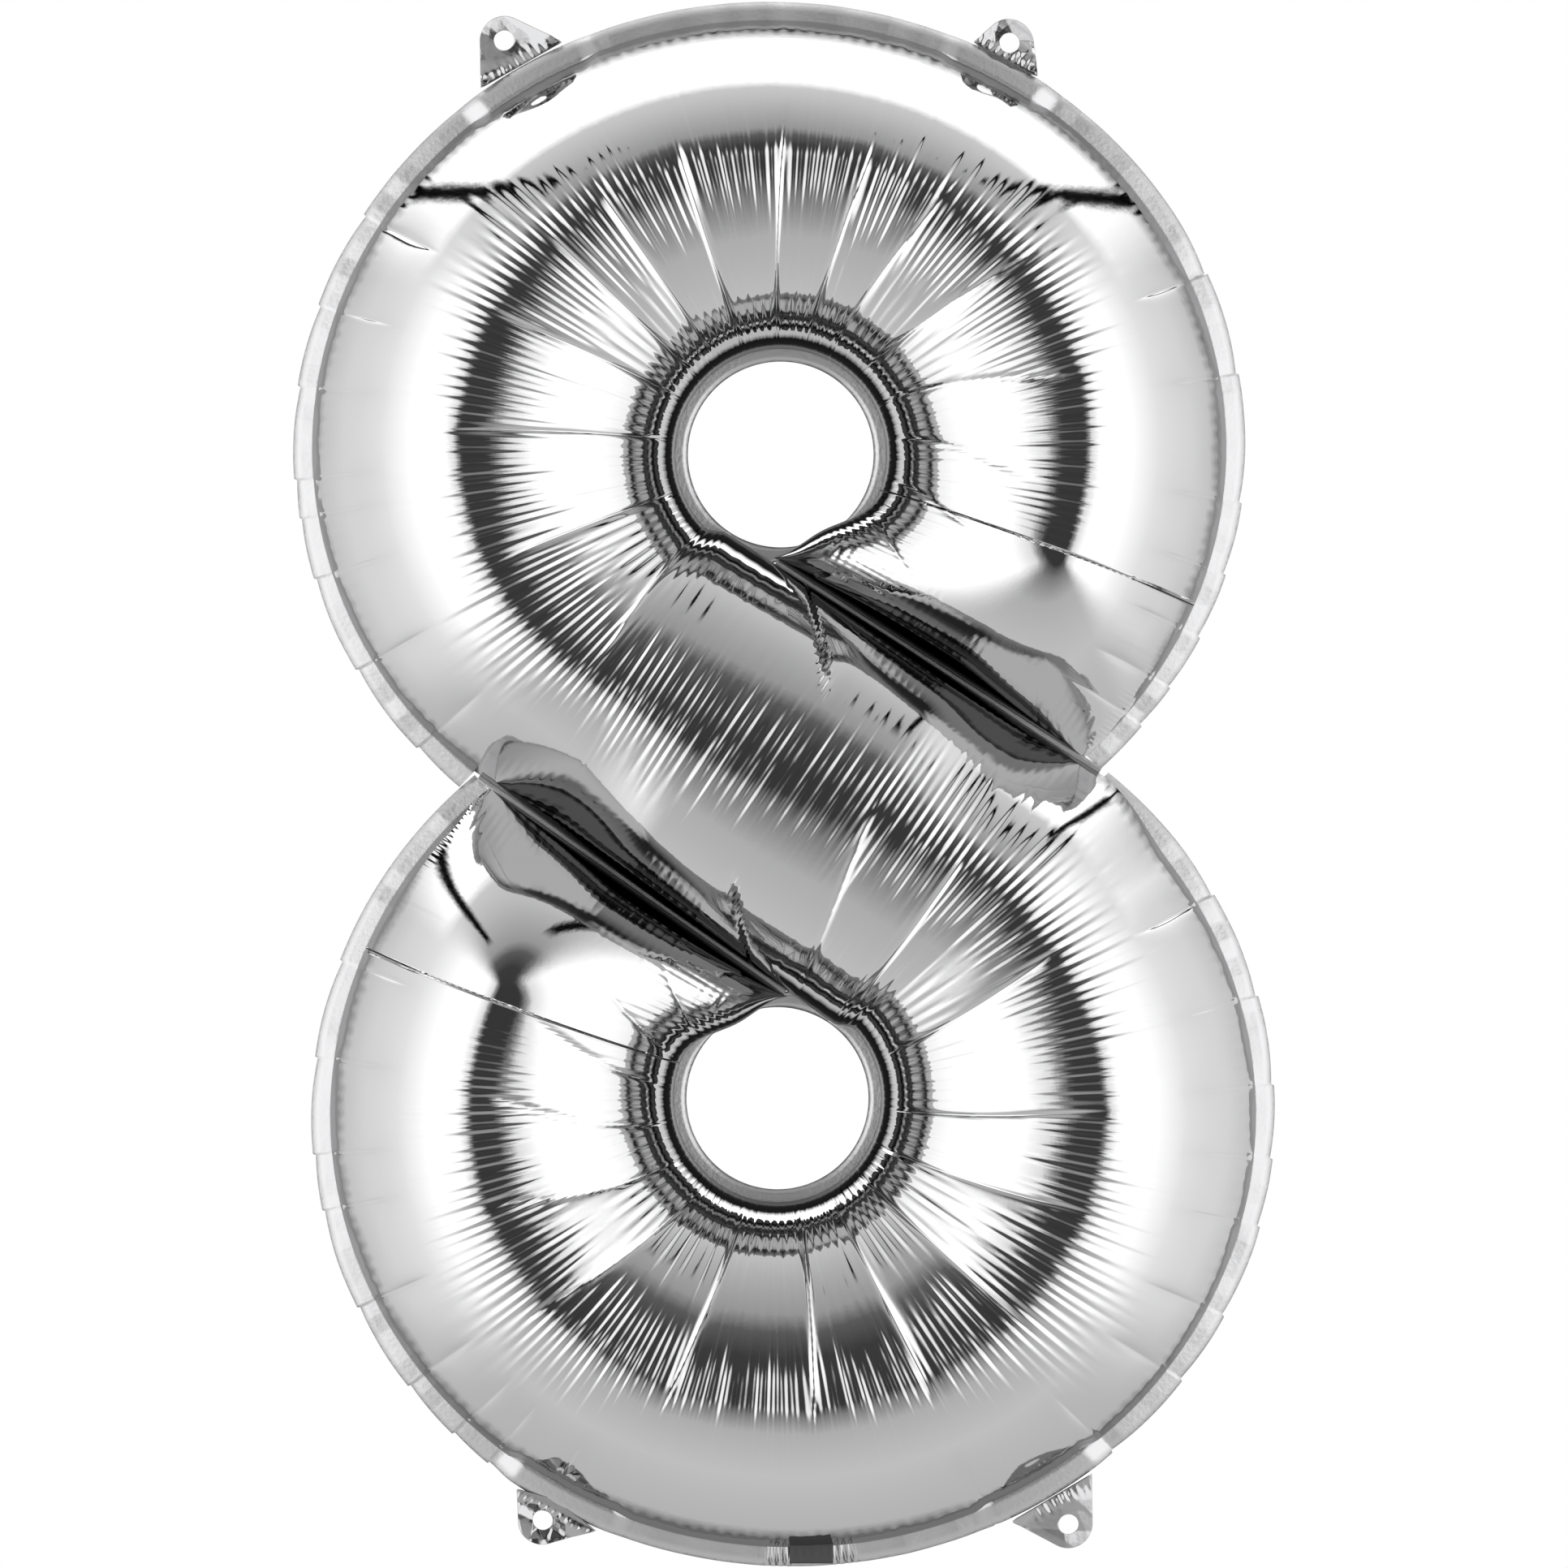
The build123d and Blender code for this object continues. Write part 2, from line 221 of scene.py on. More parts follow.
def main_run(spacing, rows):
    """The tube between the two arms' bases, as a grid of columns by rows."""
    degree = math.radians(1) * CREST_RADIUS
    count = int((upper.waist_normal - ARM_BASE) * degree / spacing)
    angle = np.linspace(ARM_BASE, upper.waist_normal, count)
    left_1 = upper.hole + upper.direction(angle) * upper.edge(angle)[:, None]
    right_1 = upper.hole + upper.direction(angle) * upper.far(angle)[:, None]
    angle_3 = np.linspace(lower.waist_normal, ARM_BASE, count)
    right_3 = lower.hole + lower.direction(angle_3) * lower.edge(angle_3)[:, None]
    left_3 = lower.hole + lower.direction(angle_3) * lower.far(angle_3)[:, None]
    gap = np.linalg.norm((left_1[-1] + right_1[-1] - left_3[0] - right_3[0]) / 2)
    t = np.linspace(0, 1, int(gap / spacing) + 1)[1:-1]
    left_2 = left_1[-1] + (left_3[0] - left_1[-1]) * t[:, None]
    right_2 = right_1[-1] + (right_3[0] - right_1[-1]) * t[:, None]
    left = np.concatenate((left_1, left_2, left_3))
    right = np.concatenate((right_1, right_2, right_3))
    s_1 = (angle - ARM_BASE) * degree
    s_2 = s_1[-1] + gap * t
    s_3 = s_1[-1] + gap + (lower.waist_normal - angle_3) * degree
    s = np.concatenate((s_1, s_2, s_3))
    down = np.concatenate((np.zeros(count), t, np.ones(count)))
    middle = hill(s, s_1[-1] + gap / 2, gap / 2 + 0.09)
    crest = RING_CREST + (1 - 2 * RING_CREST) * smooth(down, 0, 1)
    depth = RING_DEPTH + (STROKE_DEPTH - RING_DEPTH) * middle
    a = across(rows)[None, :]
    share = crest_share(a, crest[:, None])
    plan = left[:, None] + (right - left)[:, None] * share[..., None]
    rim_side = (a > math.pi / 2) * (1 - smooth(down, 0, 0.3))[:, None]
    rim_side = rim_side + (a < math.pi / 2) * smooth(down, 0.7, 1)[:, None]
    height = np.sin(a) + rim_side * (rim_quarter(1 - np.abs(np.cos(a))) - np.sin(a))
    height = depth[:, None] * height
    for ring, near in ((upper, 1 - down), (lower, down)):
        on_arm = smooth(near, 0.5, 1)[:, None] * np.ones_like(share)
        reach = arm_height(ring, plan)
        angle_here, _ = ring.polar(plan)
        on_arm = on_arm * (np.abs(wrap(angle_here - 20)) < 100)
        height = height * (1 + on_arm * (reach - 1))
    # Tubes lean over the waist seals between them.
    lean = WAIST_LEAN * hill(s, s_1[-1] + gap / 2, gap / 2 + 0.03)[:, None] * np.sin(2 * a)
    across_dir = (right - left) / np.linalg.norm(right - left, axis=1)[:, None]
    plan = plan - across_dir[:, None] * lean[..., None]
    return {"plan": plan, "height": height, "s": s, "share": share, "crest": crest, "down": down}


def bisect(function, low, high):
    """Where a function that is positive at low and negative at high is nil."""
    for _ in range(50):
        middle = (low + high) / 2
        if function(middle) > 0:
            low = middle
        else:
            high = middle
    return low


def arm_end(ring, columns, rows):
    """The arm's end: hoop lines that turn from the arm's base to lie along its waist seal."""
    def off_tip(angle):
        return ring.from_waist(ring.hole + ring.direction(angle) * ring.edge(angle)) - WAIST_SEAL

    def off_rim(angle):
        reach = ring.rim_reach(angle) - RIM_SEAL
        return ring.from_waist(ring.hole + ring.direction(angle) * reach) - WAIST_SEAL

    tip = bisect(off_tip, ARM_BASE, -110)
    corner = bisect(off_rim, ARM_BASE, -60)
    t = 1 - (1 - np.linspace(0, 1, columns)) ** 1.8
    inner_angle = ARM_BASE + (tip - ARM_BASE) * t
    outer_angle = ARM_BASE + (corner - ARM_BASE) * t
    inner = ring.hole + ring.direction(inner_angle) * ring.edge(inner_angle)[:, None]
    outer_reach = ring.rim_reach(outer_angle) - RIM_SEAL
    outer = ring.hole + ring.direction(outer_angle) * outer_reach[:, None]
    a = across(rows)[None, :]
    share = crest_share(a, RING_CREST) * np.ones((columns, 1))
    plan = inner[:, None] + (outer - inner)[:, None] * share[..., None]
    angle, r = ring.polar(plan)
    edge = ring.edge(angle)
    c = (r - edge) / (ring.rim_reach(angle) - RIM_SEAL - edge)
    inner_side = quarter(c / RING_CREST)
    outer_side = rim_quarter((1 - c) / (1 - RING_CREST))
    height = RING_DEPTH * np.where(c < RING_CREST, inner_side, outer_side)
    height = height * arm_height(ring, plan)
    return {"plan": plan, "height": height, "share": share, "s": -t * ARM_RUN}


# ---------------------------------------------------------------- wrinkles

# Long creases that run out from a hole: angle at the hole, angle at the outer end and how far
# across the tube they reach.
CREASES = {
    upper: (
        (25, 12, 0.60), (44, 37, 0.66), (63, 56, 0.66), (76, 72.5, 0.66), (92, 89, 0.72),
        (110, 109, 0.66), (125, 125, 0.66), (138, 137, 0.66), (152, 155, 0.62), (174, 177, 0.62),
        (201, 202, 0.56), (224, 230, 0.52), (6, -8.5, 0.45), (-15, -24, 0.36), (-36, -44, 0.30),
    ),
    lower: (
        (257, 252, 0.62), (231, 233, 0.62), (203, 209, 0.62), (175, 179, 0.62), (156, 161, 0.60),
        (138, 138, 0.66), (119, 118, 0.66), (101, 96, 0.66), (73, 69, 0.66), (49, 40, 0.66),
        (31, 18, 0.60), (11, -3, 0.56), (-8, -20, 0.46), (-24, -34, 0.36), (-40, -50, 0.30),
    ),
}
# Kinks in the rim, where the seal gathers.
KINKS = {
    upper: (150, 162, 172, 183, 187.5, 195, 207, 219, 23, 10, -6, -15, -23.5, -31, -37),
    lower: (
        -17.5, -5, 7, 14, 26.5, 38, 46, 51.5, 60, 181.5, 173, 165, 154, 145, 133.5, 117, 192, 205,
    ),
}
CREASE_EDGE = (0.0010, 0.0009)  # depth and reach of a crease's sharp middle
CREASE_SIDES = (0.0010, 0.0080)  # depth and reach of the fall towards it
KINK_EDGE = (0.0006, 0.0012)
KINK_SIDES = (0.0014, 0.0110)
# Fine wrinkles: height, half wave, where they start and end, and how far both scatter. The ends
# are shares of the way across the tube, or metres for crimps, pleats and tab folds.
CREST_FINE = (0.00020, 0.0024, -0.20, 0.13, 0.07)
CREST_BROAD = (0.00008, 0.0047, -0.26, 0.20, 0.06)
HOLE_TEETH = (0.00020, 0.0050, -0.2, 0.26, 0.05)
RIM_FINE = (0.00010, 0.0026, -0.2, 0.035, 0.012)
STROKE_EDGE = (0.00008, 0.0030, -0.2, 0.08, 0.03)
STROKE_CALM = 0.3  # share by which the finest wrinkles are lower on the stroke
CRIMPS = (0.00012, 0.0024, 0.004, 0.026, 0.006)
PLEATS = (0.0020, 0.0020, -1, 1, 0.1)
TAB_FOLDS = (0.0007, 0.0022, -1, 0.009, 0.003)


def ripples(x, y, half_wave, start, end, scatter, seed):
    """Fine wrinkles of height 1 side by side along x. Each has its own start and end in y."""
    rng = np.random.default_rng(seed)
    count = int((x.max() - x.min()) / half_wave * 1.5) + 8
    width = half_wave * (0.8 + 0.4 * rng.random(count))
    edges = x.min() - half_wave + np.cumsum(width)
    k = np.clip(np.searchsorted(edges, x) - 1, 0, count - 2)
    f = np.clip((x - edges[k]) / width[np.minimum(k + 1, count - 1)], 0, 1)
    tall = (0.35 + 0.65 * rng.random(count)) * width / half_wave
    first = start + scatter * (2 * rng.random(count) - 1)
    last = end + scatter * (2 * rng.random(count) - 1)
    window = smooth(y, first[k] - scatter, first[k] + scatter)
    window = window * (1 - smooth(y, last[k] - scatter, last[k] + scatter))
    return np.where(k % 2, -1, 1) * tall[k] * np.sin(math.pi * f) * window


def rippled(kind, x, y, seed):
    """The fine wrinkles of one kind, in metres."""
    height, *shape = kind
    return height * ripples(x, y, *shape, seed)


def along_tube(sheet):
    """Real length of a step along the tube, for each length of s."""
    step = np.gradient(sheet["plan"], axis=0) / np.gradient(sheet["s"])[:, None, None]
    return np.maximum(np.linalg.norm(step, axis=-1), 0.05)


def place(ring, sheets, angle, share):
    """The length s of the hoop line through a point of a ring."""
    edge, far = ring.edge(angle), ring.far(angle)
    target = ring.hole + ring.direction(angle) * (edge + share * (far - edge))
    best = None
    for sheet in sheets:
        gap = ((sheet["plan"] - target) ** 2).sum(-1)
        i, _ = np.unravel_index(gap.argmin(), gap.shape)
        if best is None or gap.min() < best[0]:
            best = (gap.min(), sheet["s"][i])
    return best[1]


def valley(distance, edge, sides):
    return -edge[0] * np.exp(-distance / edge[1]) - sides[0] * np.exp(-distance / sides[1])


def crease_depth(sheet, creases):
    """Sum of the creases' valleys. A crease is (near s, far s, side, near share, far share)."""
    depth = np.zeros_like(sheet["share"])
    metric = sheet["metric"]
    for near_s, far_s, from_right, near, far, edge, sides in creases:
        inside = (sheet["s"] > min(near_s, far_s) - 0.06) & (sheet["s"] < max(near_s, far_s) + 0.06)
        if not inside.any():
            continue
        share = sheet["share"][inside]
        share = 1 - share if from_right else share
        line = near_s + (far_s - near_s) * (share - near) / (far - near)
        distance = np.abs(sheet["s"][inside][:, None] - line) * metric[inside]
        low, high = min(near, far), max(near, far)
        window = smooth(share, low - 0.08, low + 0.04)
        window = window * (1 - smooth(share, high - 0.16, high + 0.02))
        depth[inside] += window * valley(distance, edge, sides)
    return depth


def make_creases(sheets, jitter, seed):
    rng = np.random.default_rng(seed)
    made = []
    for ring in (upper, lower):
        from_right = ring is lower
        for inner, outer, reach in CREASES[ring]:
            shift = jitter * (2 * rng.random() - 1)
            near_s = place(ring, sheets[ring], inner + shift, 0.05)
            far_s = place(ring, sheets[ring], outer + shift, reach)
            made.append((near_s, far_s, from_right, 0.05, reach, CREASE_EDGE, CREASE_SIDES))
        for angle in KINKS[ring]:
            s = place(ring, sheets[ring], angle + jitter * (2 * rng.random() - 1), 0.97)
            made.append((s, s, from_right, 1.05, 0.86, KINK_EDGE, KINK_SIDES))
    return made


def wrinkle(sheet, creases, seed):
    """How far the film stands out from the tube's smooth shape."""
    s, share, crest, down = (sheet[k] for k in ("s", "share", "crest", "down"))
    s = s[:, None]
    off_crest = share - crest[:, None]
    depth = crease_depth(sheet, creases)
    length = sheet["length"]
    taut = smooth(s, -0.01, 0.05) * smooth(length - s, -0.01, 0.05)
    on_stroke = hill(down, 0.5, 0.62)[:, None]
    by_upper = (1 - smooth(down, 0.05, 0.35))[:, None]
    by_lower = smooth(down, 0.65, 0.95)[:, None]
    calm = 1 - STROKE_CALM * on_stroke
    depth += taut * calm * rippled(CREST_FINE, s, off_crest, seed)
    depth += taut * rippled(CREST_BROAD, s, off_crest, seed + 1)
    depth += by_upper * rippled(HOLE_TEETH, s, share, seed + 2)
    depth += by_lower * rippled(HOLE_TEETH, s, 1 - share, seed + 3)
    depth += on_stroke * rippled(STROKE_EDGE, s, share, seed + 4)
    depth += on_stroke * rippled(STROKE_EDGE, s, 1 - share, seed + 5)
    depth += by_upper * rippled(RIM_FINE, s, 1 - share, seed + 6)
    depth += by_lower * rippled(RIM_FINE, s, share, seed + 7)
    return depth


def crimps(ring, sheet, seed):
    """Short wrinkles of an arm's end, square to its waist seal."""
    tangent = np.array((-1.0, 1.0)) * ring.direction(ring.waist_normal)[::-1]
    along = (sheet["plan"] - ring.notch) @ tangent
    away = ring.from_waist(sheet["plan"])
    return rippled(CRIMPS, along, away, seed)


# ---------------------------------------------------------------- meshes


def add_mesh(name, points, faces, body, material, smooth_faces=True):
    mesh = bpy.data.meshes.new(name)
    mesh.from_pydata(np.asarray(points).tolist(), [], faces)
    mesh.validate()
    mesh.polygons.foreach_set("use_smooth", [smooth_faces] * len(mesh.polygons))
    mesh.materials.append(material)
    thing = bpy.data.objects.new(name, mesh)
    bpy.context.collection.objects.link(thing)
    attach(thing, body)
    return thing


def grid_faces(columns, rows, first=0, flip=False):
    i = first + np.arange(columns - 1)[:, None] * rows + np.arange(rows - 1)[None, :]
    quads = np.stack((i, i + 1, i + rows + 1, i + rows), -1).reshape(-1, 4)
    return (quads[:, ::-1] if flip else quads).tolist()


def raise_film(sheet, depth):
    """The film's points, front side, with the wrinkles along the smooth shape's normals."""
    plan, height = sheet["plan"], sheet["height"]
    base = np.stack((plan[..., 0], -height, plan[..., 1]), -1)
    normal = np.cross(np.gradient(base, axis=0), np.gradient(base, axis=1))
    normal /= np.maximum(np.linalg.norm(normal, axis=-1), 1e-12)[..., None]
    normal *= np.where(normal[..., 1] > 0, -1, 1)[..., None]
    film = base + normal * (depth * sheet["fade"])[..., None]
    film[..., 1] = np.minimum(film[..., 1], 0)
    return film


def film_points(side, jitter, seed):
    """Points of one film as (main grid, upper arm grid, lower arm grid)."""
    main = main_run(SPACING, ROWS)
    arm_rows = (ROWS - 1) * ARM_ROWS_PER_ROW + 1
    arms = {}
    for ring in (upper, lower):
        arm = arm_end(ring, ARM_COLUMNS, arm_rows)
        arm["crest"] = np.full(ARM_COLUMNS, RING_CREST)
        arm["down"] = np.zeros(ARM_COLUMNS)
        if ring is lower:
            # On the lower ring the tube's left side is its outer side.
            arm["s"] = main["s"][-1] - arm["s"]
            arm["plan"] = arm["plan"][:, ::-1]
            arm["height"] = arm["height"][:, ::-1]
            arm["share"] = 1 - arm["share"][:, ::-1]
            arm["crest"] = 1 - arm["crest"]
            arm["down"] = np.ones(ARM_COLUMNS)
        arms[ring] = arm
    for sheet in (main, arms[upper], arms[lower]):
        sheet["metric"] = along_tube(sheet)
        sheet["length"] = main["s"][-1]
        sheet["fade"] = smooth(np.minimum(sheet["share"], 1 - sheet["share"]), -0.004, 0.012)
    creases = make_creases({upper: (main, arms[upper]), lower: (main, arms[lower])}, jitter, seed)
    made = [raise_film(main, wrinkle(main, creases, seed))]
    for ring in (upper, lower):
        arm = arms[ring]
        tip = arm["plan"][-1, 0 if ring is upper else -1]
        from_tip = np.linalg.norm(arm["plan"] - tip, axis=-1)
        rise = arm_height(ring, arm["plan"])
        depth = wrinkle(arm, creases, seed + 20) * rise + crimps(ring, arm, seed + 30)
        depth = depth * smooth(from_tip, 0.012, 0.050)
        made.append(raise_film(arm, depth * smooth(ring.from_waist(arm["plan"]), 0.002, 0.012)))
    for points in made:
        points[..., 1] *= -side
    return made


def make_film(name, node, side, jitter, seed, material):
    """One film: side is -1 for the front and 1 for the back."""
    main, arm_u, arm_l = film_points(side, jitter, seed)
    columns, rows = main.shape[:2]
    arm_rows = arm_u.shape[1]
    # The arm's first hoop line takes its points from the main grid's end.
    for arm, end in ((arm_u, main[0]), (arm_l, main[-1])):
        t = np.linspace(0, 1, arm_rows)
        for axis in range(3):
            arm[0, :, axis] = np.interp(t, t[::ARM_ROWS_PER_ROW], end[:, axis])
    flip = side < 0
    faces = grid_faces(columns - 2, rows, rows, not flip)
    start_u = main.size // 3
    start_l = start_u + arm_u.size // 3
    faces += grid_faces(ARM_COLUMNS, arm_rows, start_u, flip)
    faces += grid_faces(ARM_COLUMNS, arm_rows, start_l, not flip)
    for first, column, turn in ((start_u, 1, flip), (start_l, columns - 2, not flip)):
        for j in range(rows - 1):
            edge = [first + j * ARM_ROWS_PER_ROW + k for k in range(ARM_ROWS_PER_ROW + 1)]
            face = [column * rows + j + 1, column * rows + j] + edge
            faces.append(face[::-1] if turn else face)
    points = np.concatenate([p.reshape(-1, 3) for p in (main, arm_u, arm_l)])
    film = add_mesh(name, points, faces, "balloon", material)
    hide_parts(node)
    return film


# ---------------------------------------------------------------- materials


def principled(name, color, metallic, roughness):
    material = bpy.data.materials.new(name)
    material.use_nodes = True
    shader = material.node_tree.nodes["Principled BSDF"]
    shader.inputs["Base Color"].default_value = (*color, 1)
    shader.inputs["Metallic"].default_value = metallic
    shader.inputs["Roughness"].default_value = roughness
    return material, shader


def add_bump(material, shader, scale, strength, distance, detail=3.0):
    nodes, links = material.node_tree.nodes, material.node_tree.links
    place_node = nodes.new("ShaderNodeTexCoord")
    noise = nodes.new("ShaderNodeTexNoise")
    noise.inputs["Scale"].default_value = scale
    noise.inputs["Detail"].default_value = detail
    links.new(place_node.outputs["Object"], noise.inputs["Vector"])
    bump = nodes.new("ShaderNodeBump")
    bump.inputs["Strength"].default_value = strength
    bump.inputs["Distance"].default_value = distance
    links.new(noise.outputs["Fac"], bump.inputs["Height"])
    links.new(bump.outputs["Normal"], shader.inputs["Normal"])


foil, foil_shader = principled("silver_foil", (0.90, 0.90, 0.905), 1.0, 0.05)
add_bump(foil, foil_shader, 260, 0.05, 0.0004)
seal_foil, seal_shader = principled("seal_foil", (0.84, 0.84, 0.85), 1.0, 0.36)
add_bump(seal_foil, seal_shader, 420, 0.25, 0.0006)
# The tabs are the same silver film as the balloon, but their colour is painted darker than the
# foil's. This is painted shade, so that their bright facets do not render blown white.
tab_foil_painted_shade, tab_shader = principled("tab_foil_painted_shade", (0.66, 0.66, 0.67), 1.0, 0.10)
add_bump(tab_foil_painted_shade, tab_shader, 240, 0.2, 0.0006)
dark_film, dark_shader = principled("dark_film", (0.16, 0.16, 0.165), 0.35, 0.38)

make_film("foil_front", "front_panel", -1, 0.0, 11, foil)
make_film("foil_back", "back_panel", 1, 3.0, 57, foil)

# ---------------------------------------------------------------- seals

SEAL_BACK = 0.0042  # how far the seal's outer edge lies back from the seam plane
SEAL_UNDER = 0.004  # how far the seal reaches in under the tube
RIM_POINTS = 1400
KINK_STEP = 0.0016  # how far the seal's edge steps in at a kink, and over how many degrees
KINK_RUN = 9.0
SEAL_WAVE = 0.0005
FILM = 0.00012
TAB_HOLE = 0.0055
TAB_HEAD = 0.0135
TAB_TILT = 0.28  # how far a tab leans back for each metre out from the rim
TAB_CRUMPLE = 0.0056
TAB_PLANES = 30  # each plane folds the tab's film once
TAB_GAP = 0.0004  # from the rim to a tab's root, just inside its fold
# Each tab's ring, its place on the rim as the ellipse's angle, the punched hole's place along the
# fold and out from it, and half of the root's width.
TABS = {
    "top_left": (upper, 121.2, -0.0018, 0.0176, 0.026),
    "top_right": (upper, 60.3, -0.0024, 0.0095, 0.020),
    "bottom_left": (lower, 240.7, 0.0041, 0.0094, 0.025),
    "bottom_right": (lower, 302.3, -0.0006, 0.0182, 0.026),
}


def near_tab(ring, points):
    """1 beside a ring's tabs, where the seal comes forward to meet them, and 0 elsewhere."""
    near = np.zeros(len(points))
    for owner, root, _, _, half in TABS.values():
        if owner is ring:
            distance = np.linalg.norm(points - ring.rim - ring.radii * unit(root), axis=1)
            near = np.maximum(near, 1 - smooth(distance, half + 0.003, half + 0.018))
    return near


def strip(name, nodes, inner, outer, inner_y, outer_y, closed, material):
    """A band of welded film between two lines, with a front and a back face."""
    count = len(inner)
    steps = np.linspace(0, 1, 4)
    rows = []
    for side in (-1, 1):
        for t in steps if side < 0 else steps[::-1]:
            plan = inner + (outer - inner) * t
            y = inner_y + (outer_y - inner_y) * t + side * FILM
            rows.append(np.stack((plan[:, 0], y * np.ones(count), plan[:, 1]), -1))
    points = np.stack(rows, 1)
    faces = []
    n_rows = points.shape[1]
    for i in range(count if closed else count - 1):
        j = (i + 1) % count
        for k in range(n_rows):
            m = (k + 1) % n_rows
            faces.append((i * n_rows + k, i * n_rows + m, j * n_rows + m, j * n_rows + k))
    band = add_mesh(name, points.reshape(-1, 3), faces, "balloon", material)
    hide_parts(*nodes)
    return band


def rim_line(ring, low, high, count):
    """Points of the rim and of the tube's edge from one angle to another, with the kinks."""
    angle = np.linspace(low, high, count)
    rim = ring.rim_reach(angle)
    kinks = np.sort(np.array(KINKS[ring]))
    previous = kinks[np.clip(np.searchsorted(kinks, angle) - 1, 0, len(kinks) - 1)]
    after = np.clip((angle - previous) / KINK_RUN, 0, 1)
    step = np.where(angle >= kinks[0], KINK_STEP * (1 - after) ** 2, 0)
    direction = ring.direction(angle)
    step = step * (1 - near_tab(ring, ring.hole + direction * rim[:, None]))
    outer = ring.hole + direction * (rim - step)[:, None]
    inner = ring.hole + direction * (rim - RIM_SEAL - SEAL_UNDER)[:, None]
    return inner, outer, angle


def make_rim_seal(ring, label):
    own = float(wrap(ring.polar(ring.notch)[0]))
    other = float(ring.polar(ring.other.notch)[0])
    inner, outer, angle = rim_line(ring, own, other, RIM_POINTS)
    rng = np.random.default_rng(70 + ring.turn)
    wave = np.interp(angle, np.linspace(own, other, 120), rng.normal(0, SEAL_WAVE, 120))
    # The seal is pleated on both sides of the inlet.
    from_inlet = np.abs(outer[:, 0] - INLET_X) + 10 * (outer[:, 1] > 0)
    pleated = smooth(from_inlet, 0.010, 0.012) * (1 - smooth(from_inlet, 0.022, 0.028))
    wave += pleated * rippled(PLEATS, outer[:, 0], np.zeros(RIM_POINTS), 84)
    near = near_tab(ring, outer)
    front = -0.0006 - SEAL_BACK * near
    back = (SEAL_BACK + wave) * (1 - near)
    name = f"rim_seal_{label}"
    strip(name, ("outer_seam",), inner, outer, front, back, False, seal_foil)


def make_hole_seal(ring, label):
    angle = np.linspace(0, 360, 241)[:-1]
    direction = ring.direction(angle)
    edge = ring.edge(angle)
    clear = ring.tube_edge - HOLE_SEAL
    inner = ring.hole + direction * np.minimum(clear, edge - 0.0004)[:, None]
    outer = ring.hole + direction * (edge + 0.003)[:, None]
    name, node = f"hole_seal_{label}", f"{label}_hole_seam"
    strip(name, (node,), outer, inner, 0.0, 0.0008, True, seal_foil)


def make_waist_seal(ring, label):
    tangent = np.array((-1.0, 1.0)) * ring.direction(ring.waist_normal)[::-1]
    if (ring.hole - ring.notch) @ tangent < 0:
        tangent = -tangent
    clear = ring.tube_edge - HOLE_SEAL
    length = math.sqrt(((ring.hole - ring.notch) ** 2).sum() - clear**2)
    along = ring.notch + tangent * np.linspace(0.004, length - 0.030, 60)[:, None]
    side = ring.direction(ring.waist_normal) * (WAIST_SEAL + 0.0005)
    name, node = f"waist_seal_{label}", f"{label}_waist_seam"
    strip(name, (node,), along - side, along + side, 0.0, 0.0, False, seal_foil)


inlet_low, inlet_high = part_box("inlet_mouth")
INLET_X = (inlet_low.x + inlet_high.x) / 2
for ring, label in ((upper, "upper"), (lower, "lower")):
    make_rim_seal(ring, label)
    make_hole_seal(ring, label)
    make_waist_seal(ring, label)

# ---------------------------------------------------------------- tabs


def hull(points):
    """Corners of the smallest convex outline round some points, in order."""
    points = sorted(map(tuple, points))

    def half(run):
        made = []
        for p in run:
            while len(made) > 1 and (
                (made[-1][0] - made[-2][0]) * (p[1] - made[-2][1])
                - (made[-1][1] - made[-2][1]) * (p[0] - made[-2][0])
            ) <= 0:
                made.pop()
            made.append(p)
        return made[:-1]

    return np.array(half(points) + half(points[::-1]))


def outline_reach(corners, centre, angles):
    """Distance from a point inside a convex outline to it, along each angle."""
    reach = np.full(len(angles), np.inf)
    d = unit(np.degrees(angles))
    for a, b in zip(corners, np.roll(corners, -1, 0)):
        normal = np.array((b[1] - a[1], a[0] - b[0]))
        t = (a - centre) @ normal / np.where(np.abs(d @ normal) < 1e-12, 1e-12, d @ normal)
        reach = np.where((t > 0) & (t < reach), t, reach)
    return reach


def crumpled(local, centre, seed):
    """How far a tab's film stands back, for points given along its fold and out from it."""
    rng = np.random.default_rng(90 + seed)
    crumple = np.zeros(local.shape[:2])
    for _ in range(TAB_PLANES):
        direction = rng.normal(0, 1, 2)
        direction /= np.linalg.norm(direction)
        offset = rng.uniform(-0.018, 0.018)
        lean = rng.normal(0, 0.20)
        crumple += lean * np.abs((local - centre) @ direction - offset)
    flat = np.stack((np.ones(crumple.size), *(local - centre).reshape(-1, 2).T), 1)
    fit = np.linalg.lstsq(flat, crumple.ravel(), rcond=None)[0]
    crumple -= (flat @ fit).reshape(crumple.shape)
    out = local[..., 1]
    crumple *= TAB_CRUMPLE / np.abs(crumple).max() * smooth(out, TAB_GAP, 0.007)
    # Short folds gather where the tab leaves the rim.
    by_root = smooth(out, TAB_GAP, 0.003) * (1 - smooth(out, 0.003, 0.011))
    crumple += by_root * rippled(TAB_FOLDS, local[..., 0], out, 95 + seed)
    return crumple + TAB_TILT * (out - TAB_GAP)


def plate_faces(n_a, n_r):
    """Faces of a film with two sides, from rings of points round a hole."""
    faces = []
    for i in range(n_a):
        j = (i + 1) % n_a
        for k in range(n_r - 1):
            quad = (i * n_r + k, i * n_r + k + 1, j * n_r + k + 1, j * n_r + k)
            faces.append(quad[::-1])
            faces.append(tuple(v + n_a * n_r for v in quad))
        for k in (0, n_r - 1):
            a, b = i * n_r + k, j * n_r + k
            rim_quad = (a, b, b + n_a * n_r, a + n_a * n_r)
            faces.append(rim_quad if k else rim_quad[::-1])
    return faces


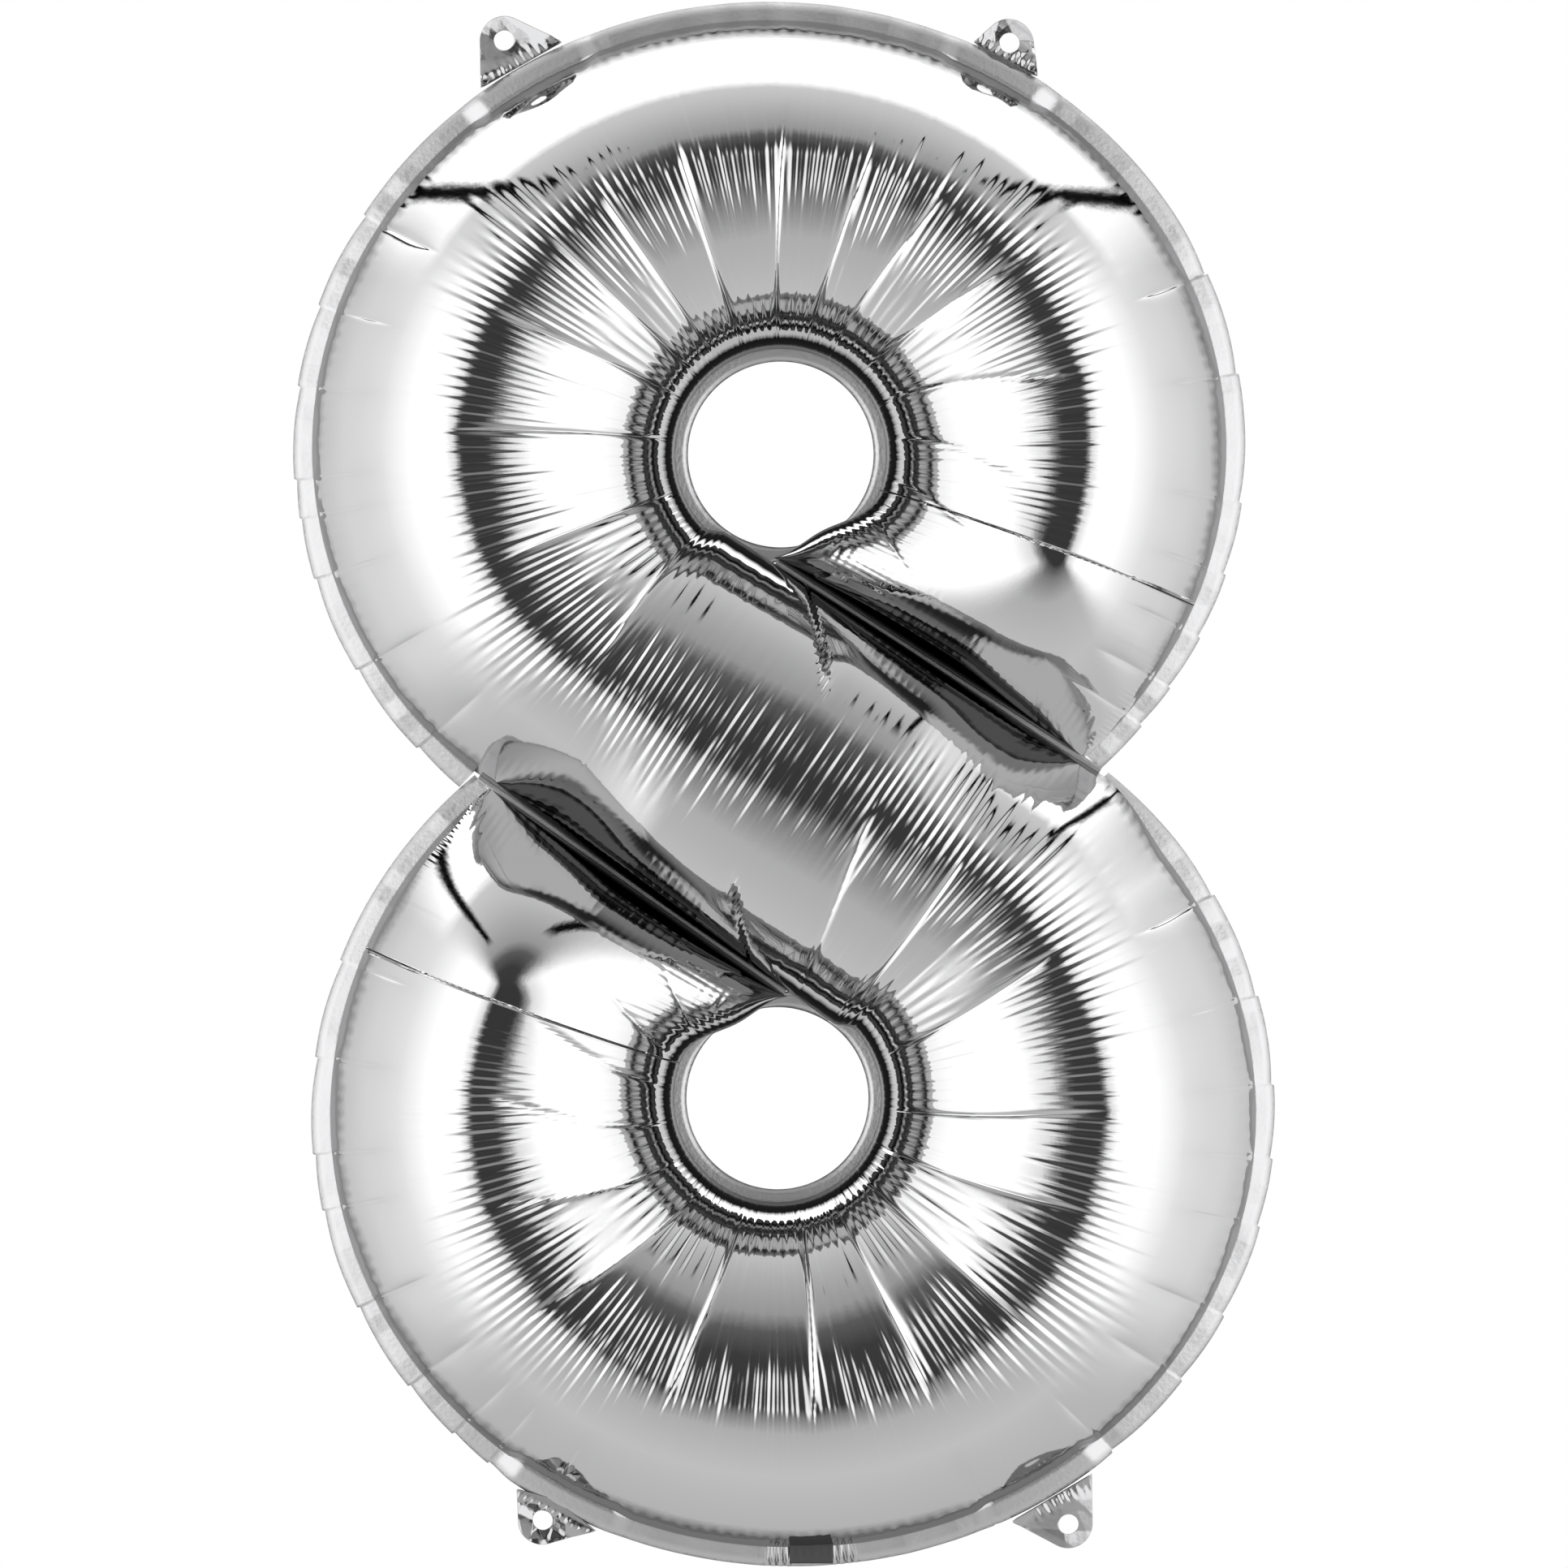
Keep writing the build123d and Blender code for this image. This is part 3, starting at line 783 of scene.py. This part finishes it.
def make_tab(label, seed):
    ring, root, along, out, half = TABS[label]
    start = ring.rim + ring.radii * unit(root)
    outward = unit(root) / ring.radii
    outward /= np.linalg.norm(outward)
    fold = np.array((outward[1], -outward[0]))
    centre = np.array((along, out))
    head = centre + TAB_HEAD * unit(np.linspace(0, 355, 72))
    corners = hull(np.concatenate((head, [(-half, TAB_GAP), (half, TAB_GAP)])))
    angles = np.linspace(0, 2 * math.pi, 145)[:-1]
    reach = outline_reach(corners, centre, angles)
    radius = TAB_HOLE + (reach - TAB_HOLE)[:, None] * np.linspace(0, 1, 26)
    rays = np.stack((np.cos(angles), np.sin(angles)), -1)
    local = centre + rays[:, None] * radius[..., None]
    back = crumpled(local, centre, seed)
    plan = start + local[..., :1] * fold + local[..., 1:] * outward
    sides = [np.stack((plan[..., 0], back + y, plan[..., 1]), -1) for y in (-FILM, FILM)]
    points = np.concatenate(sides).reshape(-1, 3)
    faces = plate_faces(*radius.shape)
    tab = add_mesh(f"tab_{label}", points, faces, f"tab_{label}", tab_foil_painted_shade)
    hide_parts(f"hang_tab_{label}")


for seed, label in enumerate(TABS):
    make_tab(label, seed)

# ---------------------------------------------------------------- inlet and valve

INLET_TALL = 0.0145
columns = np.linspace(inlet_low.x, inlet_high.x, 40)
top_edge = np.stack((columns, np.full(40, inlet_low.z + INLET_TALL)), -1)
bottom_edge = np.stack((columns, np.full(40, inlet_low.z + 0.0006)), -1)
bottom_y = -0.0012 + 0.0003 * np.sin(columns * 700)
strip(
    "inlet_film", ("inlet_mouth",), top_edge, bottom_edge, -0.0030, bottom_y, False,
    dark_film,
)
for node in ("valve_film_front", "valve_film_back"):
    thing = frame["nodes"][node]
    thing.data.materials.clear()
    thing.data.materials.append(dark_film)

# ---------------------------------------------------------------- studio

FLOOR_HALF = 0.75
FLOOR_Z = -0.50
SQUARE = ((-1, -1), (1, -1), (1, 1), (-1, 1))
floor_corners = [(x * FLOOR_HALF, y * FLOOR_HALF, FLOOR_Z) for x, y in SQUARE]
floor_mesh = bpy.data.meshes.new("floor")
floor_mesh.from_pydata(floor_corners, [], [(0, 1, 2, 3)])
floor = bpy.data.objects.new("floor", floor_mesh)
bpy.context.collection.objects.link(floor)
pale, _ = principled("pale_floor", (0.86, 0.86, 0.86), 0.0, 0.9)
floor_mesh.materials.append(pale)
floor.visible_glossy = False

world = bpy.data.worlds.new("studio")
bpy.context.scene.world = world
world.use_nodes = True
nodes, links = world.node_tree.nodes, world.node_tree.links
nodes.clear()


def math_node(operation, a, b=None, c=None):
    node = nodes.new("ShaderNodeMath")
    node.operation = operation
    for socket, value in zip(node.inputs, (a, b, c)):
        if value is None:
            continue
        if isinstance(value, (int, float)):
            socket.default_value = value
        else:
            links.new(value, socket)
    return node.outputs[0]


BRIGHTEST = 3.0  # a curve runs from 0 to 1, so strengths are shares of this


def ramp(value, stops):
    """Brightness against an angle in degrees."""
    node = nodes.new("ShaderNodeFloatCurve")
    curve = node.mapping.curves[0]
    points = [(a / 180, b / BRIGHTEST) for a, b in stops]
    curve.points[0].location = points[0]
    curve.points[1].location = points[-1]
    for p in points[1:-1]:
        curve.points.new(*p)
    for p in curve.points:
        p.handle_type = "VECTOR"
    node.mapping.update()
    links.new(math_node("DIVIDE", value, 180.0), node.inputs["Value"])
    return math_node("MULTIPLY", node.outputs[0], BRIGHTEST)


# Brightness of the studio, each stop an angle from straight in front and a strength.
BACK_LIGHT = ((136, 0.01), (152, 0.02), (162, 0.16), (180, 0.22))
SIDE_LIGHT = (
    (0, 0.05), (9, 0.05), (13, 0.35), (17, 1.0), (30, 1.5), (62, 1.5), (95, 1.05),
    (118, 0.9), (128, 0.75), *BACK_LIGHT,
)
TOP_LIGHT = (
    (0, 0.05), (20, 0.06), (33, 0.14), (43, 0.42), (66, 0.58), (92, 0.80), (102, 1.9),
    (128, 1.9), *BACK_LIGHT,
)
LOW_LIGHT = (
    (0, 0.05), (9, 0.05), (20, 0.28), (42, 0.58), (90, 0.72), (128, 0.62), *BACK_LIGHT,
)

coordinate = nodes.new("ShaderNodeTexCoord")
split = nodes.new("ShaderNodeSeparateXYZ")
links.new(coordinate.outputs["Generated"], split.inputs[0])
dx, dy, dz = split.outputs
from_front = math_node("ARCCOSINE", math_node("MULTIPLY", dy, -1.0))
angle = math_node("MULTIPLY", from_front, 180 / math.pi)
square_x, square_z = (math_node("MULTIPLY", d, d) for d in (dx, dz))
off_axis = math_node("SQRT", math_node("ADD", square_x, square_z))
rise = math_node("DIVIDE", dz, math_node("MAXIMUM", off_axis, 0.0001))


def band(value, low, high):
    node = nodes.new("ShaderNodeMapRange")
    node.interpolation_type = "SMOOTHSTEP"
    links.new(value, node.inputs["Value"])
    node.inputs["From Min"].default_value = low
    node.inputs["From Max"].default_value = high
    return node.outputs["Result"]


up = band(rise, 0.45, 0.80)
down = band(math_node("MULTIPLY", rise, -1.0), 0.45, 0.80)
side = math_node("SUBTRACT", math_node("SUBTRACT", 1.0, up), down)
light = math_node("MULTIPLY", side, ramp(angle, SIDE_LIGHT))
light = math_node("MULTIPLY_ADD", up, ramp(angle, TOP_LIGHT), light)
light = math_node("MULTIPLY_ADD", down, ramp(angle, LOW_LIGHT), light)
# A dark gap between the overhead light and the side lights.
gap_line = math_node("MULTIPLY_ADD", angle, -0.00225, 0.945)
off_gap = math_node("ABSOLUTE", math_node("SUBTRACT", rise, gap_line))
in_front = math_node("SUBTRACT", 1.0, band(angle, 50, 62))
lit = math_node("MAXIMUM", band(off_gap, 0.008, 0.040), in_front)
light = math_node("MULTIPLY", light, lit)
# Light fades where one part of the balloon mirrors another, as deep in the holes.
path = nodes.new("ShaderNodeLightPath")
for ray_depth, fade in ((2.5, -0.6), (3.5, -0.8)):
    deeper = math_node("GREATER_THAN", path.outputs["Ray Depth"], ray_depth)
    light = math_node("MULTIPLY", light, math_node("MULTIPLY_ADD", deeper, fade, 1.0))
studio = nodes.new("ShaderNodeBackground")
links.new(light, studio.inputs["Strength"])
backdrop = nodes.new("ShaderNodeBackground")
backdrop.inputs["Color"].default_value = (1, 1, 1, 1)
mix = nodes.new("ShaderNodeMixShader")
links.new(path.outputs["Is Camera Ray"], mix.inputs["Fac"])
links.new(studio.outputs[0], mix.inputs[1])
links.new(backdrop.outputs[0], mix.inputs[2])
output = nodes.new("ShaderNodeOutputWorld")
links.new(mix.outputs[0], output.inputs["Surface"])

lens = bpy.data.cameras.new("camera")
lens.sensor_width = 36
lens.lens = 200
camera = bpy.data.objects.new("camera", lens)
bpy.context.collection.objects.link(camera)
PICTURE_HEIGHT = 0.8612  # what the picture spans at the seam plane
camera.location = (0, -PICTURE_HEIGHT * lens.lens / lens.sensor_width, 0)
camera.rotation_euler = (math.pi / 2, 0, 0)
bpy.context.scene.camera = camera
bpy.context.scene.view_settings.view_transform = "Standard"
